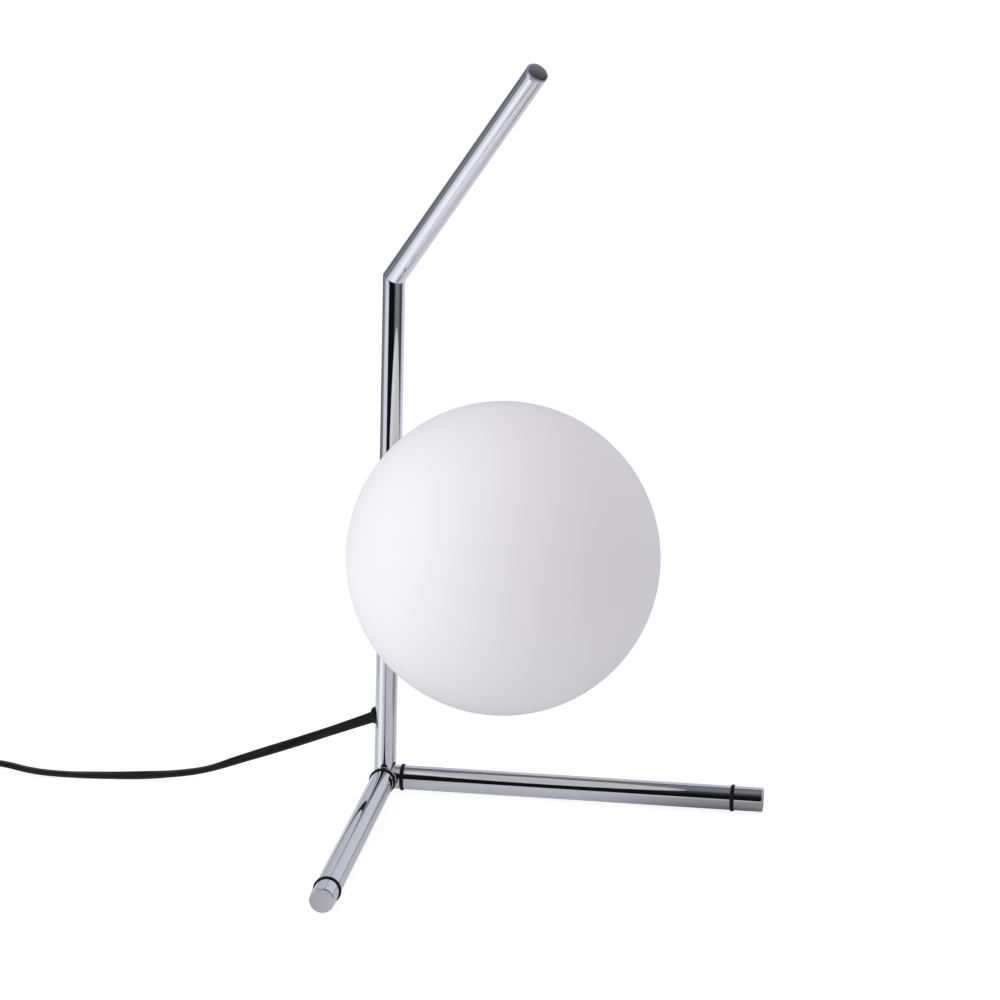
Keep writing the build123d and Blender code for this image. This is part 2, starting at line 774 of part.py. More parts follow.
os.makedirs("parts", exist_ok=True)
for name, shape in pieces.items():
    export_step(place(shape), f"parts/{name}.step")
print(f"column axis at y = {column_y:.3f}; {len(pieces)} sub-parts written")
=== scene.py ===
import math
import bmesh
import bpy
from mathutils import Matrix, Vector


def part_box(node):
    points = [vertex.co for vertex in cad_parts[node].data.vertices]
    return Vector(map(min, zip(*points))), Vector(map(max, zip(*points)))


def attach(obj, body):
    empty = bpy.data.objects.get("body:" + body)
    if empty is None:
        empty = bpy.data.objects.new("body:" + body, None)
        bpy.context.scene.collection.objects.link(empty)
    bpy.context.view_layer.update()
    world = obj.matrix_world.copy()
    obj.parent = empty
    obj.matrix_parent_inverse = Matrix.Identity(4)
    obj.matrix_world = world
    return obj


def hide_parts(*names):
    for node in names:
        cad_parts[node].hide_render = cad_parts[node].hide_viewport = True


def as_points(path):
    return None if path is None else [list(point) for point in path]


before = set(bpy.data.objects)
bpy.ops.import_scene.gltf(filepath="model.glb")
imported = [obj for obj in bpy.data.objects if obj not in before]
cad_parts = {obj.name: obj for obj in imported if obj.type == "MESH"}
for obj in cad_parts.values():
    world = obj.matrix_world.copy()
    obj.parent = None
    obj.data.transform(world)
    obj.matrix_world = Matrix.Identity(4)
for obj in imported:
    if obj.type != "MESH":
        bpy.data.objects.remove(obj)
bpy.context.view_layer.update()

# ---- camera ----------------------------------------------
# The photograph is taken with a long lens from 3 m away, from the lamp's left front and
# a little above. Everything is placed from the column's axis, which the frame gives.
plug_low, plug_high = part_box("column_foot_plug")
column = Vector(((plug_low.x + plug_high.x) / 2, (plug_low.y + plug_high.y) / 2, 0.0))
up = Vector((0, 0, 1))

lens_length = 169.06
sensor_width = 36.0
camera_stand = Vector((-1.7661, -2.3919, 0.97735))
camera_back = Vector((-0.59333, -0.76417, 0.25302)).normalized()
camera_right = Vector((0.79339, -0.60825, 0.02349))
camera_right = (camera_right - camera_back * camera_right.dot(camera_back)).normalized()
camera_up = camera_back.cross(camera_right)


def new_object(name, data):
    """An object of the scene that shows this data."""
    made = bpy.data.objects.new(name, data)
    bpy.context.collection.objects.link(made)
    return made


camera_data = bpy.data.cameras.new("camera")
camera_data.lens = lens_length
camera_data.sensor_width = sensor_width
camera_data.sensor_fit = "HORIZONTAL"
camera = new_object("camera", camera_data)
camera.matrix_world = Matrix.Translation(column + camera_stand) @ Matrix(
    (camera_right, camera_up, camera_back)).transposed().to_4x4()
bpy.context.scene.camera = camera
bpy.context.scene.view_settings.view_transform = "Standard"

# ---- cord ------------------------------------------------
# Flat two-core flex, 6.2 x 3.8 mm and 1.8 m long. It leaves the column on edge, turns
# over onto its flat on the way down to the table, and runs through the switch to the coil.
cord_width = 0.0062
cord_thickness = 0.0038
coil_centre = (-0.2163, 0.2753)
coil_mid = 0.034
coil_lift = 0.001
ring_pitch = 0.0039
layer_pitch = 0.00625
coil_turns = 6
steps_per_turn = 14
coil_start = math.radians(128.0)
climb_turns = 0.3


def coil_points():
    """Six turns: three outwards on the lower layer, then three inwards above them."""
    points = []
    for k in range(coil_turns * steps_per_turn):
        turn = k / steps_per_turn
        angle = coil_start - 2 * math.pi * turn
        lap = min(turn, coil_turns - turn)
        ring = 1.0 - lap if lap < 2.0 else -1.0
        radius = coil_mid + ring_pitch * ring
        climb = min(1.0, max(0.0, (turn - coil_turns / 2 + climb_turns / 2) / climb_turns))
        points.append((coil_centre[0] + radius * math.cos(angle), coil_centre[1] + radius * math.sin(angle),
                       coil_lift + layer_pitch * (0.5 + climb)))
    return points


# Each point: place from the column's axis, and the broad side's lean from upright in degrees.
lamp_run = [
    (-0.0112, 0.0134, 0.0451, 0),
    (-0.0246, 0.0293, 0.0362, 0),
    (-0.0459, 0.0452, 0.0267, 15),
    (-0.0740, 0.0643, 0.0158, 60),
    (-0.0898, 0.0773, 0.0080, 85),
    (-0.1063, 0.0911, 0.0043, 80),
    (-0.1245, 0.1052, 0.0027, 62),
    (-0.1438, 0.1196, 0.0022, 75),
    (-0.1640, 0.1360, 0.0020, 90),
    (-0.1804, 0.1521, 0.0029, 90),
    (-0.1953, 0.1668, 0.0075, 90),
    (-0.2104, 0.1800, 0.0075, 90),
]
switch_run = [
    (-0.2466, 0.2114, 0.0075, 90),
    (-0.2617, 0.2246, 0.0072, 90),
    (-0.2718, 0.2407, 0.0050, 70),
    (-0.2741, 0.2595, 0.0034, 25),
    (-0.2682, 0.2776, 0.0034, 0),
    (-0.2554, 0.2929, 0.0041, 0),
]
plug_run = [
    (-0.2352, 0.3081, 0.0103, 0),
    (-0.2179, 0.3181, 0.0094, 20),
    (-0.1986, 0.3233, 0.0070, 70),
    (-0.1807, 0.3250, 0.0070, 90),
    (-0.1667, 0.3264, 0.0070, 90),
]
route = lamp_run + switch_run + [(*p, 0) for p in coil_points()] + plug_run


def smooth_line(points):
    """The points of the smooth line that a route's control points give."""
    curve = bpy.data.curves.new("route", "CURVE")
    curve.dimensions = "3D"
    curve.resolution_u = 8
    spline = curve.splines.new("NURBS")
    spline.points.add(len(points) - 1)
    for point, place in zip(spline.points, points):
        point.co = (*place[:3], 1.0)
    spline.order_u = 3
    spline.use_endpoint_u = True
    holder = bpy.data.objects.new("route", curve)
    mesh = bpy.data.meshes.new_from_object(holder)
    line = [v.co.copy() for v in mesh.vertices]
    bpy.data.objects.remove(holder)
    bpy.data.curves.remove(curve)
    bpy.data.meshes.remove(mesh)
    return line


def face_outwards(mesh, merge_within=0.0):
    """Turns the normals outwards, after merging points that lie this close together."""
    work = bmesh.new()
    work.from_mesh(mesh)
    if merge_within:
        bmesh.ops.remove_doubles(work, verts=work.verts, dist=merge_within)
        bmesh.ops.dissolve_degenerate(work, edges=work.edges, dist=merge_within)
    bmesh.ops.recalc_face_normals(work, faces=work.faces)
    work.to_mesh(mesh)
    work.free()


def new_piece(name, verts, faces, material, crease):
    """A smooth-shaded mesh object, with edges that stay sharp above a crease in degrees."""
    mesh = bpy.data.meshes.new(name)
    mesh.from_pydata([tuple(v) for v in verts], [], faces)
    face_outwards(mesh, merge_within=1e-7)
    mesh.polygons.foreach_set("use_smooth", [True] * len(mesh.polygons))
    mesh.set_sharp_from_angle(angle=math.radians(crease))
    mesh.materials.append(material)
    return new_object(name, mesh)


def circle(steps):
    """So many even steps round a circle, each as its cosine and its sine."""
    angles = [2 * math.pi * k / steps for k in range(steps)]
    return [(math.cos(angle), math.sin(angle)) for angle in angles]


def wall_faces(rows, steps):
    """The quads between neighbouring rows of points, when each row is a ring of so many steps."""
    return [(row * steps + k, row * steps + (k + 1) % steps, (row + 1) * steps + (k + 1) % steps,
             (row + 1) * steps + k) for row in range(rows - 1) for k in range(steps)]


def end_faces(count, steps):
    """The flat faces on the first and the last ring of so many points."""
    return [tuple(range(steps)), tuple(range(count - steps, count))]


def flex_section():
    """Two round cores side by side under one sheath: a waisted oval, (broad, thin) in metres."""
    outline, squareness, waist_depth, waist_half = [], 2.6, 0.07, 0.28
    for broad, thin in circle(28):
        squared = (abs(broad) ** squareness + abs(thin) ** squareness) ** (-1 / squareness)
        waist = 1.0 - waist_depth * math.exp(-((broad / waist_half) ** 2))
        outline.append((broad * squared * cord_width / 2, thin * squared * waist * cord_thickness / 2))
    return outline


def fill(tree, node, inputs):
    """Sets the node's inputs to these values, or links them to these sockets. A node given as a
    value stands for its first output."""
    for key, value in inputs.items():
        if isinstance(value, bpy.types.Node):
            tree.links.new(value.outputs[0], node.inputs[key])
        elif isinstance(value, bpy.types.NodeSocket):
            tree.links.new(value, node.inputs[key])
        else:
            node.inputs[key].default_value = value


def node_adder(tree):
    """A helper for one tree: it adds a node, makes its settings, and sets or links its inputs."""

    def add(kind, inputs=None, **settings):
        node = tree.nodes.new(kind)
        for key, value in settings.items():
            setattr(node, key, value)
        fill(tree, node, inputs or {})
        return node

    return add


def worked_out(add, operation, *values):
    """A Math node that makes one value of these."""
    return add("ShaderNodeMath", dict(enumerate(values)), operation=operation)


def mixed_color(add, share, first, second, **settings):
    """What a Mix node makes of two colours; their sockets come after the floats and vectors."""
    return add("ShaderNodeMix", {0: share, 6: first, 7: second}, data_type="RGBA", **settings).outputs[2]


def new_group(name, inputs, outputs):
    """A shader node group with named sockets, and its helper."""
    group = bpy.data.node_groups.new(name, "ShaderNodeTree")
    for way, sockets in (("INPUT", inputs), ("OUTPUT", outputs)):
        for label, kind in sockets.items():
            group.interface.new_socket(label, in_out=way, socket_type=f"NodeSocket{kind}")
    return group, node_adder(group)


def surface_grain():
    """Node group: a fine even grain as a roughness that varies and a bumped normal."""
    group, add = new_group(
        "surface_grain", dict.fromkeys(("Scale", "Roughness", "Spread", "Depth"), "Float"),
        {"Roughness": "Float", "Normal": "Vector"})
    entry = add("NodeGroupInput").outputs
    where = add("ShaderNodeTexCoord")
    noise = add("ShaderNodeTexNoise", {
        "Vector": where.outputs["Object"], "Scale": entry["Scale"], "Detail": 3.0})
    centred = worked_out(add, "SUBTRACT", noise.outputs["Fac"], 0.5)
    varied = worked_out(add, "MULTIPLY_ADD", centred, entry["Spread"], entry["Roughness"])
    bump = add("ShaderNodeBump", {"Distance": entry["Depth"], "Height": noise.outputs["Fac"]})
    add("NodeGroupOutput", {"Roughness": varied, "Normal": bump.outputs["Normal"]})
    return group


grain_group = surface_grain()


def finish_material(name, color, roughness, scale, tint, spread=0.1, tint_scale=60.0,
                    depth=0.00003, metallic=0.0, specular=0.5):
    """A finish: a base colour with slight clouds in it, and grain from the group."""
    material = bpy.data.materials.new(name)
    material.use_nodes = True
    tree = material.node_tree
    add = node_adder(tree)
    grain = add("ShaderNodeGroup", {
        "Scale": scale, "Roughness": roughness, "Spread": spread, "Depth": depth}, node_tree=grain_group)
    where = add("ShaderNodeTexCoord")
    clouds = add("ShaderNodeTexNoise", {"Vector": where.outputs["Object"], "Scale": tint_scale})
    cloudy = [min(1.0, c * (1.0 + tint) + 0.02 * tint) for c in color]
    fill(tree, tree.nodes["Principled BSDF"], {
        "Metallic": metallic, "Specular IOR Level": specular, "Roughness": grain.outputs["Roughness"],
        "Normal": grain.outputs["Normal"],
        "Base Color": mixed_color(add, clouds.outputs["Fac"], (*color, 1.0), (*cloudy, 1.0))})
    return material


def on_body(piece, body):
    """The piece rides on this body."""
    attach(piece, body)
    return piece


def stand_for(piece, body, slot, *nodes):
    """The piece replaces these CAD nodes and rides on their body."""
    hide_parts(*nodes)
    return on_body(piece, body)


cord_material = finish_material("cord_sheath", (0.0045, 0.0045, 0.0055), 0.3, spread=0.12, scale=700.0,
                                specular=0.24, tint=0.6)


def lean_along(line, control):
    """The broad side's lean at each point of the line, from the control points' own leans."""
    leans, nearest = [], 0
    for place in line:
        window = range(nearest, min(len(control), nearest + 4))
        nearest = min(window, key=lambda k: (Vector(control[k][:3]) - place).length)
        near = [(1e-4 + (Vector(control[k][:3]) - place).length, control[k][3])
                for k in range(max(0, nearest - 1), min(len(control), nearest + 2))]
        total = sum(1 / d**2 for d, _ in near)
        leans.append(sum(lean / d**2 for d, lean in near) / total)
    for _ in range(6):
        between = [(a + 2 * b + c) / 4 for a, b, c in zip(leans, leans[1:], leans[2:])]
        leans = [leans[0], *between, leans[-1]]
    return leans


def flex(name, control, material):
    """The cord's tube: the section swept along the smooth line, turned by its lean."""
    line = [column + place for place in smooth_line(control)]
    moved = [(*(column + Vector(c[:3])), c[3]) for c in control]
    leans = lean_along(line, moved)
    section = flex_section()
    verts = []
    for k, place in enumerate(line):
        tangent = (line[min(k + 1, len(line) - 1)] - line[max(k - 1, 0)]).normalized()
        level = tangent.cross(up).normalized()
        upright = level.cross(tangent)
        lean = math.radians(leans[k])
        broad = upright * math.cos(lean) + level * math.sin(lean)
        thin = tangent.cross(broad)
        verts += [place + broad * a + thin * b for a, b in section]
    ring = len(section)
    faces = [*wall_faces(len(line), ring), *end_faces(len(verts), ring)]
    return new_piece(name, verts, faces, material, crease=60.0), line


cord, cord_line = flex("cord", route, cord_material)
stand_for(cord, "stand", "cord_black", "cord_lamp_run", "cord_switch_run", "cord_coil", "cord_plug_run")

# ---- legs ------------------------------------------------
# Two solid round steel bars, mitred under the column and chromed. A ring groove is
# turned near each end of each bar, and the free ends have a small chamfer.
leg_radius = 0.008
leg_length = 0.2518
leg_height = 0.00865
leg_spread = math.radians(45.0)
groove_places = (0.012, 0.2316)
groove_half = 0.00125
groove_depth = 0.0014
edge_break = 0.0001
lip_run = 0.00012
# The chamfer of a free end, as (distance from the end, depth).
leg_chamfer = ((0.0007, 0.0), (0.00055, 0.00008), (0.0001, 0.00058), (0.0, 0.00075))
round_steps = 128

# Polished chrome plate: nearly mirror-smooth, with the faintest haze and wiping marks.
chrome = finish_material("chrome_plate", (0.80, 0.81, 0.82), 0.045, spread=0.03, scale=35.0, depth=0.0,
                         metallic=1.0, tint=0.02, tint_scale=12.0)


def close_end(verts, faces, first, middle):
    """A fan of triangles from a ring of points to a new point in its middle."""
    faces += [(first + k, first + (k + 1) % round_steps, len(verts)) for k in range(round_steps)]
    verts.append(middle)


def bar_piece(name, origin, direction, stations, cut, from_cut):
    """A chromed round bar along a direction. cut(offset) gives how far along the bar its near end
    lies at that offset from its axis; stations are (distance, radius) pairs, and the first
    ones, as many as from_cut says, are measured from the cut."""
    across = direction.orthogonal().normalized()
    other = direction.cross(across)
    verts = []
    for index, (distance, radius) in enumerate(stations):
        for a, b in circle(round_steps):
            offset = (across * a + other * b) * radius
            along = distance + cut(offset) if index < from_cut else distance
            verts.append(origin + offset + direction * along)
    faces = wall_faces(len(stations), round_steps)
    close_end(verts, faces, 0, origin + direction * cut(Vector((0, 0, 0))))
    close_end(verts, faces, (len(stations) - 1) * round_steps, origin + direction * stations[-1][0])
    return new_piece(name, verts, faces, chrome, crease=28.0)


def groove_stations(place):
    """The stations of one turned groove, (distance, radius)."""
    half, shoulder, hollow_share, steps = groove_half, leg_radius - edge_break, 0.92, 8
    hollow = [(place - half * hollow_share * math.cos(math.pi * k / steps),
               shoulder - groove_depth * math.sin(math.pi * k / steps)) for k in range(steps + 1)]
    return [(place - half - lip_run, leg_radius), (place - half, shoulder), *hollow,
            (place + half, shoulder), (place + half + lip_run, leg_radius)]


# Each side's name, how its leg is turned from straight ahead, and where the leg points.
leg_sides = [(side_name, turn, Vector((math.sin(turn), -math.cos(turn), 0)))
             for side_name, turn in (("left", -leg_spread), ("right", leg_spread))]
for side_name, _, direction in leg_sides:
    stations = [(lip_run, leg_radius - lip_run), (0.0003, leg_radius)]
    for place in groove_places:
        stations += groove_stations(place)
    stations += [(leg_length - distance, leg_radius - depth) for distance, depth in leg_chamfer]
    leg = bar_piece(f"{side_name}_leg_bar", column + up * leg_height, direction, stations,
                    lambda offset, d=direction: -offset.x / d.x, from_cut=2)
    stand_for(leg, "stand", "chrome", f"{side_name}_leg")

# ---- foot rings ------------------------------------------
# Black rubber rings of 2.8 mm section, stretched into the grooves. They carry the lamp,
# so each is pressed a little flat where it touches the table.
ring_section = 0.0014
ring_middle = 0.0076
rubber = finish_material("foot_rubber", (0.004, 0.004, 0.005), 0.4, spread=0.15, scale=1500.0,
                         specular=0.15, tint=0.5)


def new_tree(name, lengths, **others):
    """A Geometry Nodes tree with named inputs: lengths and angles, and others by their kind.
    Returns these inputs and two helpers: one adds a node, the other ends and returns the tree."""
    tree = bpy.data.node_groups.new(name, "GeometryNodeTree")
    for label, kind in {**dict.fromkeys(lengths, "Float"), **others, "Material": "Material"}.items():
        tree.interface.new_socket(label, in_out="INPUT", socket_type=f"NodeSocket{kind}")
    tree.interface.new_socket("Geometry", in_out="OUTPUT", socket_type="NodeSocketGeometry")
    add = node_adder(tree)
    entry = add("NodeGroupInput").outputs

    def close(shape):
        smooth = add("GeometryNodeSetShadeSmooth", {"Geometry": shape})
        whole = add("GeometryNodeRealizeInstances", {"Geometry": smooth})
        add("NodeGroupOutput", {0: add("GeometryNodeSetMaterial", {
            "Geometry": whole, "Material": entry["Material"]})})
        return tree

    return entry, add, close


def grown_piece(name, tree, sizes, material, place=Matrix()):
    """Runs a tree with these sizes, and keeps what it makes as a plain mesh at its place."""
    holder = new_object(name, bpy.data.meshes.new(name))
    modifier = holder.modifiers.new("grow", "NODES")
    modifier.node_group = tree
    for item in tree.interface.items_tree:
        if item.in_out == "INPUT":
            modifier[item.identifier] = material if item.name == "Material" else sizes[item.name]
    bpy.context.view_layer.update()
    mesh = bpy.data.meshes.new_from_object(holder.evaluated_get(bpy.context.evaluated_depsgraph_get()))
    bpy.data.objects.remove(holder)
    mesh.transform(place)
    face_outwards(mesh)
    mesh.set_sharp_from_angle(angle=math.radians(40.0))
    return new_object(name, mesh)


def ring_tree():
    """Grows one foot ring: a round section round the leg, never below the table."""
    entry, add, close = new_tree("foot_ring", ("Ring Radius", "Section Radius", "Leg Turn"),
                                 Middle="Vector")
    path = add("GeometryNodeCurvePrimitiveCircle", {"Resolution": 96, "Radius": entry["Ring Radius"]})
    section = add("GeometryNodeCurvePrimitiveCircle", {"Resolution": 20, "Radius": entry["Section Radius"]})
    ring = add("GeometryNodeCurveToMesh", {"Curve": path, "Profile Curve": section})
    turn = add("ShaderNodeCombineXYZ", {"X": math.pi / 2, "Z": entry["Leg Turn"]})
    placed = add("GeometryNodeTransform", {"Geometry": ring, "Translation": entry["Middle"],
                                           "Rotation": turn})
    where = add("ShaderNodeSeparateXYZ", {0: add("GeometryNodeInputPosition")})
    above = worked_out(add, "MAXIMUM", where.outputs["Z"], 0.0)
    pressed = add("ShaderNodeCombineXYZ", {"X": where.outputs["X"], "Y": where.outputs["Y"], "Z": above})
    return close(add("GeometryNodeSetPosition", {"Geometry": placed, "Position": pressed}))


foot_ring_tree = ring_tree()
for side_name, turn, direction in leg_sides:
    for place, place_name in zip(groove_places, ("inner", "outer")):
        middle = column + up * leg_height + direction * place
        ring = grown_piece(f"{side_name}_{place_name}_ring", foot_ring_tree, {
            "Ring Radius": ring_middle, "Section Radius": ring_section, "Leg Turn": turn,
            "Middle": tuple(middle)}, rubber)
        stand_for(ring, "stand", "black_rubber", f"foot_ring_{side_name}_{place_name}")

# ---- column and upper arm --------------------------------
# One size of chromed steel tube, mitred and welded at the bend: the seam is ground
# flush and just shows. The column's foot is coped to the leg bars and welded to them.
tube_radius = 0.00725
bend_height = 0.347
arm_tilt = math.radians(43.0)
arm_length = 0.212
cap_thickness = 0.0015
arm_end = arm_length - cap_thickness
seam = 0.00016
seam_run = 0.0003
support_run = 0.0014
wall_run = (0.02, 0.03)
arm_direction = Vector((0, -math.sin(arm_tilt), math.cos(arm_tilt)))
bend = column + up * bend_height


def mitre_shift(offset, direction):
    """How far along a tube its mitred end lies at an offset from its axis."""
    normal = (direction + (up if direction.z < 0.99 else arm_direction)).normalized()
    return -offset.dot(normal) / direction.dot(normal)


def foot_shift(offset):
    """The height of the leg bars' top under a point of the column's wall."""
    leg_dir = Vector((math.copysign(math.sin(leg_spread), offset.x or 1e-9), -math.cos(leg_spread), 0))
    away = abs(offset.x * leg_dir.y - offset.y * leg_dir.x)
    return leg_height + math.sqrt(leg_radius**2 - min(away, leg_radius * 0.999) ** 2)


def column_piece():
    """The upright tube: coped at its foot and mitred at its head."""
    verts, rows = [], 8
    for row in range(rows):
        radius = tube_radius - (seam if row in (0, rows - 1) else 0)
        for spoke in [Vector((a, b, 0)) for a, b in circle(round_steps)]:
            low, high = foot_shift(spoke * tube_radius), bend_height + mitre_shift(spoke * radius, up)
            height = (low, low + seam_run, low + support_run, low + wall_run[0], high - wall_run[1],
                      high - support_run, high - seam_run, high)[row]
            verts.append(column + spoke * radius + up * height)
    faces = wall_faces(rows, round_steps)
    close_end(verts, faces, 0, column + up * (leg_height + leg_radius))
    close_end(verts, faces, (rows - 1) * round_steps, bend)
    return new_piece("column_tube_skin", verts, faces, chrome, crease=28.0)


stand_for(column_piece(), "stand", "chrome", "column_tube")

arm_rows = [(0.0, tube_radius - seam), (seam_run, tube_radius), (support_run, tube_radius),
            (arm_end - support_run, tube_radius), (arm_end - 0.0002, tube_radius),
            (arm_end, tube_radius - edge_break)]
arm = bar_piece("upper_arm_skin", bend, arm_direction, arm_rows,
                lambda offset: mitre_shift(offset, arm_direction), from_cut=3)
stand_for(arm, "stand", "chrome", "upper_arm_tube")


def on_table(spot, turn):
    """The placement at a spot, from the column's foot, turned about the upright in degrees."""
    return Matrix.Translation(column + Vector(spot)) @ Matrix.Rotation(math.radians(turn), 4, "Z")


def frame_along(origin, direction):
    """The placement whose Z axis runs along a direction."""
    across = Vector((1, 0, 0)) if abs(direction.x) < 0.9 else Vector((0, 1, 0))
    across = (across - direction * across.dot(direction)).normalized()
    turn = Matrix((across, direction.cross(across), direction)).transposed()
    return Matrix.Translation(origin) @ turn.to_4x4()


def turned_piece(name, profile, place, material, steps=128):
    """A turned piece about the placement's Z axis; the profile is (along, radius) in mm, closed."""
    verts, rings, faces = [], [], []
    for along, radius in profile:
        count = 1 if radius < 1e-6 else steps
        rings.append(list(range(len(verts), len(verts) + count)))
        for a, b in circle(steps)[:count]:
            verts.append(place @ (Vector((radius * a, radius * b, along)) * 0.001))
    for near, far in zip(rings, rings[1:] + rings[:1]):
        if len(near) == 1 and len(far) == 1:
            continue
        for k in range(steps):
            after = (k + 1) % steps
            quad = [near[k % len(near)], near[after % len(near)], far[after % len(far)], far[k % len(far)]]
            faces.append(tuple(dict.fromkeys(quad)))
    return new_piece(name, verts, faces, material, crease=30.0)


cap = turned_piece("arm_end_cap_skin", [
    (-7.5, 0), (-7.5, 6.0), (0.0, 6.0), (0.02, 7.15), (0.12, 7.25), (1.0, 7.25), (1.12, 7.2), (1.3, 6.98),
    (1.36, 6.78), (1.42, 5.2), (1.46, 3.4), (1.49, 1.6), (1.5, 0)],
    frame_along(bend + arm_direction * arm_end, arm_direction), chrome)
stand_for(cap, "stand", "chrome", "arm_end_cap")

# ---- globe -----------------------------------------------
# A blown sphere of white opal glass, 200 mm across, with a satin skin. It opens into a
# short neck that faces the column and grips the silicone ring of the carrier.
globe_height = 0.187
# From here to the globe's piece, sizes are in mm along and about the globe's axis.
globe_reach = 122.0
globe_radius = 100.0
glass_wall = 2.5
neck_radius = 40.0
neck_start = 25.0
# How bright the painted glow on the globe's inner side is.
painted_inner_glow = 0.14
globe_place = frame_along(column + up * globe_height, Vector((0, -1, 0)))


def arc_points(middle, radius, start, end, count):
    """Points of an arc about a point of the axis, from one angle to another in radians."""
    angles = [start + (end - start) * k / count for k in range(count + 1)]
    return [(middle + radius * math.cos(angle), radius * math.sin(angle)) for angle in angles]


def opal_glass():
    """White opal glass: a satin skin outside, and on its inside a painted glow that stands in for the light
    coming through.
    """
    material = finish_material("opal_glass", (0.90, 0.897, 0.90), 0.46, spread=0.05, scale=14.0,
                               depth=0.00001, tint=0.012, tint_scale=9.0, specular=0.3)
    tree = material.node_tree
    add = node_adder(tree)
    where = add("ShaderNodeTexCoord")
    middle = globe_place @ Vector((0, 0, globe_reach * 0.001))
    from_middle = add("ShaderNodeVectorMath", {0: where.outputs["Object"], 1: middle}, operation="DISTANCE")
    wall_middle, blend = (globe_radius - glass_wall / 2) * 0.001, 0.0005
    # Painted glow: the inner side of the glass emits a faint even light of its own.
    inside = add("ShaderNodeMapRange", {
        "Value": from_middle.outputs["Value"], "From Min": wall_middle - blend,
        "From Max": wall_middle + blend, "To Min": painted_inner_glow, "To Max": 0.0})
    fill(tree, tree.nodes["Principled BSDF"], {
        "IOR": 1.46, "Emission Color": inside, "Emission Strength": 1.0})
    return material


inner_radius = globe_radius - glass_wall
neck_inner = neck_radius - glass_wall
outer_angle = math.pi - math.asin(neck_radius / globe_radius)
inner_angle = math.pi - math.asin(neck_inner / inner_radius)
lip, lip_cut = 0.9, 0.26
glass_profile = [(neck_start, neck_inner + lip), (neck_start, neck_radius - lip),
                 (neck_start + lip_cut, neck_radius - lip_cut), (neck_start + lip, neck_radius)]
glass_profile += arc_points(globe_reach, globe_radius, outer_angle, 0.0, 110)
glass_profile += arc_points(globe_reach, inner_radius, 0.0, inner_angle, 70)
glass_profile += [(neck_start + lip, neck_inner), (neck_start + lip_cut, neck_inner + lip_cut)]
globe = turned_piece("glass_globe", glass_profile, globe_place, opal_glass(), steps=192)
stand_for(globe, "globe", "opal_glass", "globe_shell")

# ---- globe boss and carrier ------------------------------
# The chromed collar that is brazed to the column, and the turned cap that closes the
# globe's neck: a flange outside, and inside a spigot with the groove for the grip ring.
boss = turned_piece("globe_boss_skin", [
    (3.5, 0), (3.5, 10.0), (21.9, 10.0), (22.3, 9.83), (22.5, 9.4), (22.5, 0)], globe_place, chrome)
stand_for(boss, "stand", "chrome", "globe_boss")
carrier = turned_piece("globe_carrier_skin", [
    (22.5, 5.1), (22.5, 42.0), (22.6, 42.3), (22.9, 42.5), (24.2, 42.5), (24.4, 42.4), (24.5, 42.2),
    (24.5, 36.7), (27.9, 36.7), (28.05, 35.7), (28.5, 35.45), (29.5, 35.45), (29.95, 35.7), (30.1, 36.7),
    (35.7, 36.7), (36.0, 36.4), (36.0, 33.3), (35.7, 33.0), (24.5, 33.0), (24.5, 5.1)], globe_place, chrome)
stand_for(carrier, "stand", "chrome", "globe_carrier")

# ---- cord grommet ----------------------------------------
# Black rubber: an oval flange that hugs the column where the cord leaves it, and a tapered
# strain relief moulded on in one piece.
exit_turn = math.radians(130.0)
exit_dip = math.radians(23.2)
exit_out = Vector((math.cos(exit_turn), math.sin(exit_turn), 0))
relief_out = exit_out * math.cos(exit_dip) - up * math.sin(exit_dip)
exit_height = 0.0495
exit_place = column + exit_out * tube_radius + up * exit_height
flange_height = 0.0504
# The flange's half width and half height, and its back's distance from the column's axis, in mm.
flange_half = (4.7, 6.0)
flange_back = 4.6


def grommet_piece():
    """The flange, whose rows are (distance from the column's axis, share of its size) in mm, and
    the tapered sleeve along the cord. The row without a distance lies on the column's wall."""
    level = Vector((-exit_out.y, exit_out.x, 0))
    middle = column + up * flange_height
    rows = [(flange_back, 0.9), (None, 1.0), (7.6, 1.0), (7.85, 0.985), (8.25, 0.93), (8.8, 0.86),
            (9.4, 0.79), (9.85, 0.70), (10.1, 0.62)]
    verts, steps = [], 72
    for along, share in rows:
        for a, b in circle(steps):
            across, rise = flange_half[0] * a * share, flange_half[1] * b * share
            reach = math.sqrt((tube_radius * 1000)**2 - across**2) if along is None else along
            verts.append(middle + (exit_out * reach + level * across + up * rise) * 0.001)
    faces = [*wall_faces(len(rows), steps), *end_faces(len(verts), steps)]
    flange = new_piece("cord_grommet_skin", verts, faces, rubber, crease=50.0)
    sleeve = turned_piece("sleeve", [
        (-2.5, 0), (-2.5, 3.6), (2.4, 3.95), (3.4, 3.72), (4.4, 3.62), (12.0, 3.45), (14.0, 3.4),
        (26.0, 3.22), (31.2, 3.14), (31.8, 3.02), (32.0, 2.8), (32.0, 0)],
        frame_along(exit_place, relief_out), rubber, steps)
    work = bmesh.new()
    work.from_mesh(flange.data)
    work.from_mesh(sleeve.data)
    work.to_mesh(flange.data)
    work.free()
    bpy.data.objects.remove(sleeve)
    return flange


stand_for(grommet_piece(), "stand", "black_rubber", "cord_grommet")

# ---- column foot plug, screw and washer ------------------
# Turned steel, zinc plated. The plug is welded inside the column's foot, and the socket
# screw comes up through the legs' corner into it.


